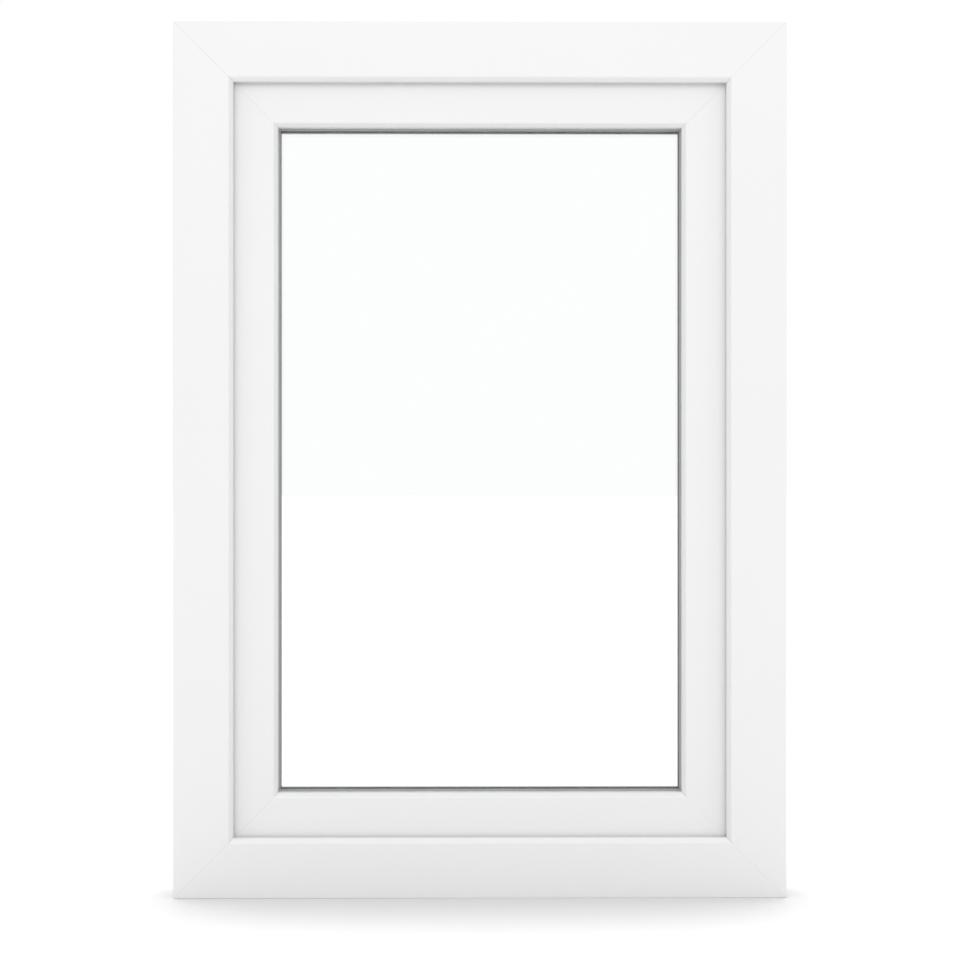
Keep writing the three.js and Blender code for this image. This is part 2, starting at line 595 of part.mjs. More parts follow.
// ---------------------------------------------------------------- locking gear
// On the lock side t runs downwards, so the rod's rise to lock is a move along -t.
const lock = SIDES.lock.group;
const FACEPLATE = { from: SASH_EDGE + FIT, thickness: 2.5, width: SEAT_WIDTH - 0.4, half: 420 };
const CAM = { stem: 2.8, neck: 3.5, head: 5.5 };
const camPlaces = [-CAM_SPACING, 0, CAM_SPACING];

// Room for a cam's stem from its open place to its locked place.
const slots = camPlaces.map((t) => {
  const reach = CAM.stem + 0.6;
  return block(SASH_EDGE - 1, SASH_EDGE + 4, GROOVE_AXIS - reach, GROOVE_AXIS + reach, t - STROKE - reach, t + reach);
});
const facePlate = block(
  FACEPLATE.from,
  FACEPLATE.from + FACEPLATE.thickness,
  GROOVE_AXIS - FACEPLATE.width / 2,
  GROOVE_AXIS + FACEPLATE.width / 2,
  -FACEPLATE.half,
  FACEPLATE.half,
);
add("lock_faceplate", cut(facePlate, ...slots), BRIGHT_STEEL, lock);

// Turns a shape drawn [u, t] into a plate from y0 to y1.
function plate(shape, y0, y1, bevel = 0) {
  const geometry = new THREE.ExtrudeGeometry(shape, {
    depth: y1 - y0 - 2 * bevel,
    bevelEnabled: bevel > 0,
    bevelThickness: bevel,
    bevelSize: bevel,
    bevelOffset: -bevel,
    bevelSegments: 3,
    curveSegments: 12,
  });
  return geometry.rotateX(Math.PI / 2).translate(0, y1 - bevel, 0);
}

// The rod is drawn from its side, with the rack's teeth along its inner edge. The rack reaches
// further along t, because locking draws that part past the pinion.
const ROD = { half: 350, width: 11, rackTeeth: 13 };
const rodInside = ROD_OUTSIDE + ROD_THICKNESS;
const pitch = Math.PI * MODULE;
const rackMiddle = STROKE / 2;
function rodShape() {
  const root = PITCH_LINE - DEDENDUM;
  const lean = Math.tan(PRESSURE_ANGLE);
  const atPitch = pitch / 4 - BACKLASH / 4;
  const tip = atPitch - ADDENDUM * lean;
  const foot = atPitch + DEDENDUM * lean;
  const rackHalf = (ROD.rackTeeth / 2) * pitch + foot;
  const points = [[ROD_OUTSIDE + FIT / 2, -ROD.half], [rodInside, -ROD.half]];
  points.push([rodInside, rackMiddle - rackHalf], [root, rackMiddle - rackHalf]);
  for (let i = 0; i < ROD.rackTeeth; i++) {
    const middle = rackMiddle + (i - (ROD.rackTeeth - 1) / 2) * pitch + pitch / 2;
    points.push([root, middle - foot], [rodInside, middle - tip], [rodInside, middle + tip], [root, middle + foot]);
  }
  points.push([root, rackMiddle + rackHalf + pitch], [rodInside, rackMiddle + rackHalf + pitch]);
  points.push([rodInside, ROD.half], [ROD_OUTSIDE + FIT / 2, ROD.half]);
  return outline(points);
}
const rodFrom = GROOVE_AXIS - ROD.width / 2;
add("drive_rod", plate(rodShape(), rodFrom, rodFrom + ROD.width), BRIGHT_STEEL, lock);

// Mushroom cams: a stem from the rod, a neck, and a head that runs under the keeper's lip.
const camHead = { from: REBATE + 2.9, to: REBATE + 5.4 };
function cam(name, t) {
  const profile = [
    [0, camHead.from],
    [CAM.head - 1, camHead.from],
    [CAM.head, camHead.from + 0.8],
    [CAM.head, camHead.to - 0.4],
    [CAM.neck, camHead.to],
    [CAM.neck, SASH_EDGE - 0.6],
    [CAM.stem, SASH_EDGE - 0.6],
    [CAM.stem, ROD_OUTSIDE - FIT],
    [0, ROD_OUTSIDE - FIT],
  ];
  const geometry = new THREE.LatheGeometry(profile.map(([r, u]) => new THREE.Vector2(r, u)), ROUND);
  add(name, geometry.rotateZ(-Math.PI / 2).translate(0, GROOVE_AXIS, t), BRIGHT_STEEL, lock);
}
cam("cam_top", camPlaces[0]);
cam("cam_middle", camPlaces[1]);
cam("cam_bottom", camPlaces[2]);

// Keepers stand on the frame's rebate, at the cams' locked places.
const KEEPER = { hookHalf: 8, baseBeyond: 18, screwBeyond: 10 };
function keeper(name, t) {
  const lipFrom = t - STROKE - KEEPER.hookHalf;
  const lipTo = t - STROKE + KEEPER.hookHalf;
  const wall = GROOVE_AXIS + CAM.head + 0.5;
  const base = block(REBATE + FIT, REBATE + 2, GROOVE_AXIS - 8, INSIDE - 1.4, lipFrom - KEEPER.baseBeyond, lipTo + KEEPER.baseBeyond);
  const hook = block(REBATE + 1, REBATE + 8, wall, wall + 2, lipFrom, lipTo);
  const lip = block(REBATE + 6, REBATE + 8, GROOVE_AXIS + CAM.neck + 0.4, wall + 1, lipFrom, lipTo);
  const screwHoles = [lipFrom - KEEPER.screwBeyond, lipTo + KEEPER.screwBeyond].map((hole) =>
    new THREE.CylinderGeometry(2.2, 2.2, 8, 16).rotateZ(Math.PI / 2).translate(REBATE, GROOVE_AXIS, hole),
  );
  add(name, cut(join(base, hook, lip), ...screwHoles), DIE_CAST, lock);
}
keeper("keeper_top", camPlaces[0]);
keeper("keeper_middle", camPlaces[1]);
keeper("keeper_bottom", camPlaces[2]);

// The gear case lies in the milled stile, with its pinion chamber open towards the rod.
const CASE = { from: rodInside + FIT, to: SASH_EDGE + 27.6, half: GEAR_CASE_LENGTH / 2 };
const caseFace = { from: GROOVE_AXIS - CHANNEL_WIDTH / 2 + FIT, to: GROOVE_AXIS + CHANNEL_WIDTH / 2 - FIT };
const PINION = { from: GROOVE_AXIS - 4.1, to: GROOVE_AXIS + 4.1, hole: 7.4 };
add(
  "gear_case",
  cut(
    block(CASE.from, CASE.to, caseFace.from, caseFace.to, -CASE.half, CASE.half),
    barThrough(SPINDLE_LINE, 0, PINION_RADIUS + ADDENDUM + 1, PINION.from - FIT, PINION.to + FIT),
    barThrough(SPINDLE_LINE, 0, 5.6, caseFace.from - 1, caseFace.to + 1),
    barThrough(SPINDLE_LINE, SCREW_SPACING / 2, 2.6, caseFace.from - 1, caseFace.to + 1),
    barThrough(SPINDLE_LINE, -SCREW_SPACING / 2, 2.6, caseFace.from - 1, caseFace.to + 1),
  ),
  DIE_CAST,
  lock,
);

// Involute teeth. One tooth points straight at the rack.
function pinionShape() {
  const baseRadius = PINION_RADIUS * Math.cos(PRESSURE_ANGLE);
  const involute = (angle) => Math.tan(angle) - angle;
  const atPitch = (pitch / 4 - BACKLASH / 4) / PINION_RADIUS;
  const halfTooth = (radius) => {
    const angle = radius > baseRadius ? Math.acos(baseRadius / radius) : 0;
    return atPitch + involute(PRESSURE_ANGLE) - involute(angle);
  };
  const points = [];
  const radii = [PINION_RADIUS - DEDENDUM, baseRadius, PINION_RADIUS, PINION_RADIUS + ADDENDUM - 0.1];
  for (let i = 0; i < PINION_TEETH; i++) {
    const middle = Math.PI + (i / PINION_TEETH) * 2 * Math.PI;
    for (const radius of radii) {
      const angle = middle - halfTooth(radius);
      points.push([SPINDLE_LINE + radius * Math.cos(angle), radius * Math.sin(angle)]);
    }
    for (const radius of [...radii].reverse()) {
      const angle = middle + halfTooth(radius);
      points.push([SPINDLE_LINE + radius * Math.cos(angle), radius * Math.sin(angle)]);
    }
  }
  return outline(points);
}
function squareBar(half, y0, y1) {
  return block(SPINDLE_LINE - half, SPINDLE_LINE + half, y0, y1, -half, half);
}
add(
  "drive_pinion",
  cut(plate(pinionShape(), PINION.from, PINION.to), squareBar(PINION.hole / 2, PINION.from - 1, PINION.to + 1)),
  BRIGHT_STEEL,
  lock,
);

// ---------------------------------------------------------------- handle
// The base is screwed through the stile into the gear case, and a cap hides the screws. The lever
// points up when the window is free to open. It turns across the glass to point down, locked.
const HANDLE = { faceWidth: 30, faceHeight: 68, baseTop: SASH_INSIDE + 8, capTop: SASH_INSIDE + 11, neck: 9.5 };
const NECK_HOLE = HANDLE.neck + 0.4;
const GRIP = { from: SASH_INSIDE + 30, to: SASH_INSIDE + 42, length: 122, atNeck: 11, atEnd: 8.5 };

function longHole(halfWidth, halfHeight) {
  const shape = new THREE.Shape();
  const straight = halfHeight - halfWidth;
  shape.absarc(SPINDLE_LINE, straight, halfWidth, 0, Math.PI);
  shape.absarc(SPINDLE_LINE, -straight, halfWidth, Math.PI, 2 * Math.PI);
  return shape;
}
const inset = 1.8;
const basePlate = plate(
  longHole(HANDLE.faceWidth / 2 - inset, HANDLE.faceHeight / 2 - inset),
  SASH_INSIDE + FIT,
  HANDLE.baseTop,
);
const screwAt = [SCREW_SPACING / 2, -SCREW_SPACING / 2];
const SCREW = { shank: 2.4, head: 4.6, headFrom: HANDLE.baseTop - 3.4, headTo: HANDLE.baseTop - 0.3, end: GROOVE_AXIS - 2 };
add(
  "handle_base",
  cut(
    basePlate,
    barThrough(SPINDLE_LINE, 0, NECK_HOLE, SASH_INSIDE - 1, HANDLE.capTop + 1),
    ...screwAt.map((t) => barThrough(SPINDLE_LINE, t, SCREW.shank + 0.3, SASH_INSIDE - 1, HANDLE.capTop)),
    ...screwAt.map((t) => barThrough(SPINDLE_LINE, t, SCREW.head + 0.3, SCREW.headFrom - FIT, HANDLE.capTop)),
  ),
  DIE_CAST,
  lock,
);
add(
  "handle_cap",
  cut(
    plate(longHole(HANDLE.faceWidth / 2, HANDLE.faceHeight / 2), SASH_INSIDE + FIT, HANDLE.capTop, 1.2),
    plate(
      longHole(HANDLE.faceWidth / 2 - inset + 0.3, HANDLE.faceHeight / 2 - inset + 0.3),
      SASH_INSIDE - 1,
      HANDLE.baseTop + 0.3,
    ),
    barThrough(SPINDLE_LINE, 0, NECK_HOLE, SASH_INSIDE - 1, HANDLE.capTop + 1),
  ),
  WHITE_METAL,
  lock,
);
for (const [name, t] of [["handle_upper_screw", screwAt[1]], ["handle_lower_screw", screwAt[0]]]) {
  const screw = join(
    barThrough(SPINDLE_LINE, t, SCREW.shank, SCREW.end, SCREW.headFrom + 1),
    barThrough(SPINDLE_LINE, t, SCREW.head, SCREW.headFrom, SCREW.headTo),
  );
  add(name, screw, BRIGHT_STEEL, lock);
}

const SPINDLE = { half: 3.5, from: GROOVE_AXIS - 5, to: SASH_INSIDE + 27 };
add("handle_spindle", squareBar(SPINDLE.half, SPINDLE.from, SPINDLE.to), BRIGHT_STEEL, lock);

const gripShape = new THREE.Shape();
gripShape.absarc(SPINDLE_LINE, 0, GRIP.atNeck, 0, Math.PI);
gripShape.absarc(SPINDLE_LINE, -GRIP.length, GRIP.atEnd, Math.PI, 2 * Math.PI);
const neckProfile = [
  [0, SASH_INSIDE + 2],
  [HANDLE.neck, SASH_INSIDE + 2],
  [HANDLE.neck, SASH_INSIDE + 14],
  [HANDLE.neck - 1.5, SASH_INSIDE + 19],
  [HANDLE.neck - 1, GRIP.from + 3],
  [HANDLE.neck - 1, GRIP.from + 5],
  [0, GRIP.from + 5],
];
const neck = new THREE.LatheGeometry(neckProfile.map(([r, y]) => new THREE.Vector2(r, y)), ROUND);
add(
  "handle_lever",
  cut(
    join(plate(gripShape, GRIP.from, GRIP.to, 3), neck.translate(SPINDLE_LINE, 0, 0)),
    squareBar(SPINDLE.half + 0.25, SASH_INSIDE, SPINDLE.to + 0.4),
  ),
  WHITE_METAL,
  lock,
);

window.name = "casement_window";

export default window;
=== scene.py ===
import json
import math

import bmesh
import bpy
from mathutils import Matrix, Vector


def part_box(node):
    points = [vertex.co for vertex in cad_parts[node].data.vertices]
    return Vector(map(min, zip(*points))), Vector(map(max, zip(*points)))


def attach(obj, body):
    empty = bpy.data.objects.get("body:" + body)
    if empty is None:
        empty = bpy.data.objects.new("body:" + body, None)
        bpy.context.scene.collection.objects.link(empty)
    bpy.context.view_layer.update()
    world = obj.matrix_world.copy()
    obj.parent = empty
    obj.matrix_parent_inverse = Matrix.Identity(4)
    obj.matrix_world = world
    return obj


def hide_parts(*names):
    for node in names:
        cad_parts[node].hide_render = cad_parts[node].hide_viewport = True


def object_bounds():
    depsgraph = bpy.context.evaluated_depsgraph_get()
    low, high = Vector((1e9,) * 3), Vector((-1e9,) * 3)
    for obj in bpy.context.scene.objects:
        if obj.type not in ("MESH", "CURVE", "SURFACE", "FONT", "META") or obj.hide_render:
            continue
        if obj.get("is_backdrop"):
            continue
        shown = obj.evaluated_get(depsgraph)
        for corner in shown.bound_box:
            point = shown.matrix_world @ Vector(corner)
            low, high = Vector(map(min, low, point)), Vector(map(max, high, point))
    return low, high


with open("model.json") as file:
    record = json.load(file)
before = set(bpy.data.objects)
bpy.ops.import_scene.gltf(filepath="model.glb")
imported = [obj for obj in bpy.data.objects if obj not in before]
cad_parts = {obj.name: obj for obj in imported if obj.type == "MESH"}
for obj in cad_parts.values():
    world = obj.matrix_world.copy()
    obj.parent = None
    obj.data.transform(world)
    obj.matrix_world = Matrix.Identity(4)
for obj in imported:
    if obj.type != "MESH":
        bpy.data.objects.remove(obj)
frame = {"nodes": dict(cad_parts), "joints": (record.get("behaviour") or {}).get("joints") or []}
cad_low, cad_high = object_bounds()


# ---- Outer frame ----
# Four white PVC bars, extruded with a chamfered lip, cut at 45 degrees and welded. The weld
# is planed back to a fine groove across each corner. Sections are in millimetres, [u, y]: u runs
# from the window's outer edge towards the glass, and y from outdoors into the room.
MM = 0.001
sill_low, sill_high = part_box("frame_sill")
head_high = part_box("frame_head")[1]
WINDOW_WIDTH = cad_high.x - cad_low.x
WINDOW_HEIGHT = head_high.z - sill_low.z
FRAME_FACE = sill_high.z / MM
OUTSIDE = sill_low.y / MM
INSIDE = sill_high.y / MM
LIP_BACK = OUTSIDE + 12
REBATE = FRAME_FACE - 20
SIDES = {
    "hinge": (0, (cad_low.x, 0, WINDOW_HEIGHT / 2), WINDOW_HEIGHT),
    "head": (90, (0, 0, WINDOW_HEIGHT), WINDOW_WIDTH),
    "lock": (180, (cad_high.x, 0, WINDOW_HEIGHT / 2), WINDOW_HEIGHT),
    "sill": (-90, (0, 0, 0), WINDOW_WIDTH),
}


def side_matrix(side):
    """From a section's millimetres to the window's metres, for one of its four sides."""
    turn, corner, _ = SIDES[side]
    return Matrix.Translation(corner) @ Matrix.Rotation(math.radians(turn), 4, "Y") @ Matrix.Scale(MM, 4)


def finish_piece(name, bm, body, material, nodes=(), matrix=None, smooth_below=35):
    """Turns a bmesh into a piece that rides on a body and stands for the CAD nodes it details."""
    if matrix is not None:
        bmesh.ops.transform(bm, matrix=matrix, verts=bm.verts)
    bmesh.ops.recalc_face_normals(bm, faces=bm.faces)
    mesh = bpy.data.meshes.new(name)
    bm.to_mesh(mesh)
    bm.free()
    mesh.shade_smooth()
    mesh.set_sharp_from_angle(angle=math.radians(smooth_below))
    mesh.materials.append(material)
    piece = bpy.data.objects.new(name, mesh)
    bpy.context.scene.collection.objects.link(piece)
    flats = piece.modifiers.new("flat_faces", "WEIGHTED_NORMAL")
    flats.mode = "FACE_AREA"
    flats.weight = 100
    flats.keep_sharp = True
    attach(piece, body)
    if nodes:
        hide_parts(*nodes)
    return piece


def section_face(bm, points, rounds):
    """One flat face from the section's corners. rounds gives a radius and the corners that have it."""
    corners = [bm.verts.new((u, y, 0)) for u, y in points]
    bm.faces.new(corners)
    for radius, chosen in rounds:
        bmesh.ops.bevel(bm, geom=[corners[i] for i in chosen], offset=radius, segments=6, profile=0.5,
                        affect="VERTICES", clamp_overlap=True, material=-1)


def extrude_along(bm, start, end):
    """Draws the flat face out into a bar between two places along the side."""
    bmesh.ops.translate(bm, verts=bm.verts, vec=(0, 0, start))
    drawn = bmesh.ops.extrude_face_region(bm, geom=bm.faces[:])["geom"]
    moved = [v for v in drawn if isinstance(v, bmesh.types.BMVert)]
    bmesh.ops.translate(bm, verts=moved, vec=(0, 0, end - start))


def mitred_bar(points, rounds, side, weld=0.25):
    """A bar of one section with 45 degree ends and a fine bevel round each end, as a planed weld."""
    bm = bmesh.new()
    half = SIDES[side][2] / MM / 2
    section_face(bm, points, rounds)
    extrude_along(bm, -half - 1, half + 1)
    for end in (-1, 1):
        everything = bm.verts[:] + bm.edges[:] + bm.faces[:]
        made = bmesh.ops.bisect_plane(bm, geom=everything, plane_co=(0, 0, end * half),
                                      plane_no=(1, 0, end), clear_outer=True)["geom_cut"]
        rim = [e for e in made if isinstance(e, bmesh.types.BMEdge)]
        bmesh.ops.holes_fill(bm, edges=rim, sides=0)
        bmesh.ops.bevel(bm, geom=rim, offset=weld, segments=1, profile=0.5, affect="EDGES",
                        clamp_overlap=True, material=-1)
    return bm


def socket_group(name, inputs, outputs):
    """A new shader node group with named float or vector sockets."""
    group = bpy.data.node_groups.new(name, "ShaderNodeTree")
    for label, kind, value in inputs:
        made = group.interface.new_socket(name=label, in_out="INPUT", socket_type=kind)
        made.default_value = value
    for label, kind in outputs:
        group.interface.new_socket(name=label, in_out="OUTPUT", socket_type=kind)
    return group, group.nodes.new("NodeGroupInput"), group.nodes.new("NodeGroupOutput")


def surface_noise(name="surface_noise"):
    """Fine drawn lines or grain, with a slow cloud of tone over them, on Object coordinates."""
    group, source, sink = socket_group(
        name,
        [("Stretch", "NodeSocketVector", (1, 1, 1)), ("Grain", "NodeSocketFloat", 900.0),
         ("Cloud", "NodeSocketFloat", 6.0)],
        [("Grain", "NodeSocketFloat"), ("Cloud", "NodeSocketFloat")],
    )
    nodes, links = group.nodes, group.links
    coordinates = nodes.new("ShaderNodeTexCoord")
    mapping = nodes.new("ShaderNodeMapping")
    grain = nodes.new("ShaderNodeTexNoise")
    cloud = nodes.new("ShaderNodeTexNoise")
    grain.inputs["Detail"].default_value = 3.0
    cloud.inputs["Detail"].default_value = 4.0
    links.new(coordinates.outputs["Object"], mapping.inputs["Vector"])
    links.new(source.outputs["Stretch"], mapping.inputs["Scale"])
    links.new(mapping.outputs["Vector"], grain.inputs["Vector"])
    links.new(source.outputs["Grain"], grain.inputs["Scale"])
    links.new(coordinates.outputs["Object"], cloud.inputs["Vector"])
    links.new(source.outputs["Cloud"], cloud.inputs["Scale"])
    links.new(grain.outputs["Fac"], sink.inputs["Grain"])
    links.new(cloud.outputs["Fac"], sink.inputs["Cloud"])
    return group


SURFACE_NOISE = surface_noise()


def finished_material(name, low, high, roughness, stretch=(1, 1, 1), grain=900.0, cloud=6.0, bump=0.05,
                      depth=0.0001, metallic=0.0):
    """Colour and roughness each vary between two values, and the grain is also a slight relief."""
    material = bpy.data.materials.new(name)
    material.use_nodes = True
    nodes, links = material.node_tree.nodes, material.node_tree.links
    shader = nodes["Principled BSDF"]
    noise = nodes.new("ShaderNodeGroup")
    noise.node_tree = SURFACE_NOISE
    noise.inputs["Stretch"].default_value = stretch
    noise.inputs["Grain"].default_value = grain
    noise.inputs["Cloud"].default_value = cloud
    tone = nodes.new("ShaderNodeMix")
    tone.data_type = "RGBA"
    tone.inputs["A"].default_value = (*low, 1)
    tone.inputs["B"].default_value = (*high, 1)
    gloss = nodes.new("ShaderNodeMapRange")
    gloss.inputs["To Min"].default_value = roughness[0]
    gloss.inputs["To Max"].default_value = roughness[1]
    relief = nodes.new("ShaderNodeBump")
    relief.inputs["Strength"].default_value = bump
    relief.inputs["Distance"].default_value = depth
    links.new(noise.outputs["Cloud"], tone.inputs["Factor"])
    links.new(tone.outputs["Result"], shader.inputs["Base Color"])
    links.new(noise.outputs["Grain"], gloss.inputs["Value"])
    links.new(gloss.outputs["Result"], shader.inputs["Roughness"])
    links.new(noise.outputs["Grain"], relief.inputs["Height"])
    links.new(relief.outputs["Normal"], shader.inputs["Normal"])
    shader.inputs["Metallic"].default_value = metallic
    return material


PVC_LOW = (0.714, 0.715, 0.714)
PVC_HIGH = (0.732, 0.733, 0.732)
DRAWN_LINE = 60.0  # the die's lines are this many times longer than they are wide
pvc_upright = finished_material("white_pvc_upright", PVC_LOW, PVC_HIGH, (0.3, 0.4),
                                stretch=(1, 1, 1 / DRAWN_LINE), grain=1400.0, bump=0.06)
pvc_level = finished_material("white_pvc_level", PVC_LOW, PVC_HIGH, (0.3, 0.4),
                              stretch=(1 / DRAWN_LINE, 1, 1), grain=1400.0, bump=0.06)
PVC = {"hinge": pvc_upright, "lock": pvc_upright, "head": pvc_level, "sill": pvc_level}

SEAL_GROOVE = 3.2  # how deep each seal's groove is
SEAL_FOOT = (FRAME_FACE - 7, FRAME_FACE - 3.8)
TROUGH = REBATE - 5
CHAMFER = 4.8
frame_section = [
    (0, OUTSIDE), (FRAME_FACE - CHAMFER, OUTSIDE), (FRAME_FACE, OUTSIDE + CHAMFER), (FRAME_FACE, LIP_BACK),
    (SEAL_FOOT[1], LIP_BACK), (SEAL_FOOT[1], LIP_BACK - SEAL_GROOVE), (SEAL_FOOT[0], LIP_BACK - SEAL_GROOVE),
    (SEAL_FOOT[0], LIP_BACK), (TROUGH, LIP_BACK), (TROUGH, LIP_BACK + 9), (REBATE, LIP_BACK + 14),
    (REBATE, INSIDE), (0, INSIDE),
    (0, 21), (4, 21), (4, 13), (0, 13), (0, -11), (4, -11), (4, -19), (0, -19),
]
frame_rounds = [(1.2, [1, 2]), (0.5, [0, 3, 11, 12]), (2, [8, 9, 10])]


def cut_slots(piece, boxes):
    """Mills round-ended slots out of a finished piece."""
    bm = bmesh.new()
    for low, high in boxes:
        slot = bmesh.ops.create_cube(bm, size=1)["verts"]
        size = Vector(high) - Vector(low)
        bmesh.ops.scale(bm, vec=size, verts=slot)
        bmesh.ops.translate(bm, vec=(Vector(high) + Vector(low)) / 2, verts=slot)
        ends = [e for v in slot for e in v.link_edges if abs((e.verts[0].co - e.verts[1].co).z) > size.z / 2]
        bmesh.ops.bevel(bm, geom=list(set(ends)), offset=min(size.x, size.y) * 0.49, segments=5, profile=0.5,
                        affect="EDGES", clamp_overlap=True, material=-1)
    mesh = bpy.data.meshes.new("slot_cutter")
    bm.to_mesh(mesh)
    bm.free()
    cutter = bpy.data.objects.new("slot_cutter", mesh)
    bpy.context.scene.collection.objects.link(cutter)
    milling = piece.modifiers.new("slots", "BOOLEAN")
    milling.object = cutter
    milling.operation = "DIFFERENCE"
    milling.solver = "EXACT"
    bpy.context.view_layer.update()
    cut = bpy.data.meshes.new_from_object(piece.evaluated_get(bpy.context.evaluated_depsgraph_get()))
    piece.modifiers.clear()
    piece.data = cut
    bpy.data.objects.remove(cutter)


DRAIN_HALF = 0.014
DRAIN_AT = 0.23
for side, bar in (("sill", "sill"), ("head", "head"), ("hinge", "hinge_jamb"), ("lock", "lock_jamb")):
    shape = mitred_bar(frame_section, frame_rounds, side)
    made = finish_piece(f"outer_frame_{bar}", shape, "frame", PVC[side], [f"frame_{bar}"],
                        side_matrix(side))
    if side == "sill":
        drains = [((x - DRAIN_HALF, -0.0175, -0.001), (x + DRAIN_HALF, -0.0125, 0.012))
                  for x in (-DRAIN_AT, DRAIN_AT)]
        cut_slots(made, drains)


# ---- Frame seal ----
# A grey soft lip, extruded, pushed by its foot into the groove behind the frame's lip and carried
# round all four corners. The closed sash presses on it.
RUBBER_LOW = (0.30, 0.303, 0.306)
RUBBER_HIGH = (0.36, 0.363, 0.366)
rubber = finished_material("grey_seal_rubber", RUBBER_LOW, RUBBER_HIGH, (0.55, 0.75), grain=2500.0,
                           cloud=40.0, bump=0.12)
SASH_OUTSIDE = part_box("sash_bottom_rail")[0].y / MM


def seal_ring(name, points, body, node, rounds=()):
    """A seal of one section round the window, in one piece: four mitred lengths whose ends meet."""
    ring = bmesh.new()
    for side in SIDES:
        bm = bmesh.new()
        half = SIDES[side][2] / MM / 2
        section_face(bm, points, rounds)
        extrude_along(bm, -half - 1, half + 1)
        for end in (-1, 1):
            everything = bm.verts[:] + bm.edges[:] + bm.faces[:]
            bmesh.ops.bisect_plane(bm, geom=everything, plane_co=(0, 0, end * half), plane_no=(1, 0, end),
                                   clear_outer=True)
        bmesh.ops.transform(bm, matrix=side_matrix(side), verts=bm.verts)
        length = bpy.data.meshes.new("seal_length")
        bm.to_mesh(length)
        bm.free()
        ring.from_mesh(length)
        bpy.data.meshes.remove(length)
    bmesh.ops.remove_doubles(ring, verts=ring.verts, dist=0.00005)
    return finish_piece(name, ring, body, rubber, [node])


seal_ring("frame_seal_lip", [
    (SEAL_FOOT[0] + 0.3, LIP_BACK - 3), (SEAL_FOOT[1] - 0.3, LIP_BACK - 3),
    (SEAL_FOOT[1] - 0.3, LIP_BACK + 0.2), (FRAME_FACE - 1.6, LIP_BACK + 0.2),
    (FRAME_FACE - 0.2, LIP_BACK + 1.4), (FRAME_FACE - 1, SASH_OUTSIDE - 0.2),
    (SEAL_FOOT[0] - 0.5, SASH_OUTSIDE - 0.2), (SEAL_FOOT[0] - 1.5, LIP_BACK + 1.6),
    (SEAL_FOOT[0] + 0.3, LIP_BACK + 0.2),
], "frame", "frame_seal", [(0.4, [4, 5, 6, 7])])


# ---- Sash ----
# The opening leaf: four white PVC bars with a chamfered glazing lip outdoors, a flange that closes
# over the frame indoors, and a groove round the edge that holds the locking gear. Welded corners.
rail_low, rail_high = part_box("sash_bottom_rail")
SIGHT_LINE = rail_high.z / MM
FLANGE_EDGE = rail_low.z / MM
SASH_INSIDE = rail_high.y / MM
FLANGE_BACK = INSIDE + 3.5
SASH_EDGE = REBATE + 12
GLAZING_REBATE = SIGHT_LINE - 20
SASH_LIP_BACK = SASH_OUTSIDE + 14.5
GROOVE_AXIS = FLANGE_BACK - 13
GASKET_GAP = 4  # between the lip and the glass
GLASS_UNIT = 24
BEAD_GAP = 3.7  # between the glass and the beads
BEAD_FRONT = SASH_LIP_BACK + GASKET_GAP + GLASS_UNIT + BEAD_GAP
GLASS_SEAL_FOOT = (SIGHT_LINE - 6, SIGHT_LINE - 2.8)
FLANGE_SEAL_FOOT = (FLANGE_EDGE + 3, FLANGE_EDGE + 6.2)
sash_section = [
    (SASH_EDGE, SASH_OUTSIDE + 12), (SASH_EDGE + 3, SASH_OUTSIDE), (SIGHT_LINE - CHAMFER, SASH_OUTSIDE),
    (SIGHT_LINE, SASH_OUTSIDE + CHAMFER),
    (SIGHT_LINE, SASH_LIP_BACK), (GLASS_SEAL_FOOT[1], SASH_LIP_BACK),
    (GLASS_SEAL_FOOT[1], SASH_LIP_BACK - SEAL_GROOVE), (GLASS_SEAL_FOOT[0], SASH_LIP_BACK - SEAL_GROOVE),
    (GLASS_SEAL_FOOT[0], SASH_LIP_BACK), (GLAZING_REBATE, SASH_LIP_BACK), (GLAZING_REBATE, SASH_INSIDE),
    (FLANGE_EDGE, SASH_INSIDE), (FLANGE_EDGE, FLANGE_BACK), (FLANGE_SEAL_FOOT[0], FLANGE_BACK),
    (FLANGE_SEAL_FOOT[0], FLANGE_BACK + SEAL_GROOVE), (FLANGE_SEAL_FOOT[1], FLANGE_BACK + SEAL_GROOVE),
    (FLANGE_SEAL_FOOT[1], FLANGE_BACK), (SASH_EDGE, FLANGE_BACK), (SASH_EDGE, GROOVE_AXIS + 8),
    (SASH_EDGE + 3, GROOVE_AXIS + 8), (SASH_EDGE + 3, GROOVE_AXIS + 6), (SASH_EDGE + 9, GROOVE_AXIS + 6),
    (SASH_EDGE + 9, GROOVE_AXIS - 6), (SASH_EDGE + 3, GROOVE_AXIS - 6), (SASH_EDGE + 3, GROOVE_AXIS - 8),
    (SASH_EDGE, GROOVE_AXIS - 8),
]
sash_rounds = [(1.2, [2, 3]), (4, [11]), (0.8, [1, 4, 12, 17]), (0.4, [10, 18, 25])]
for side, bar in (("sill", "bottom_rail"), ("head", "top_rail"), ("hinge", "hinge_stile"),
                  ("lock", "lock_stile")):
    shape = mitred_bar(sash_section, sash_rounds, side)
    finish_piece(f"sash_leaf_{bar}", shape, "sash", PVC[side], [f"sash_{bar}"],
                 side_matrix(side))


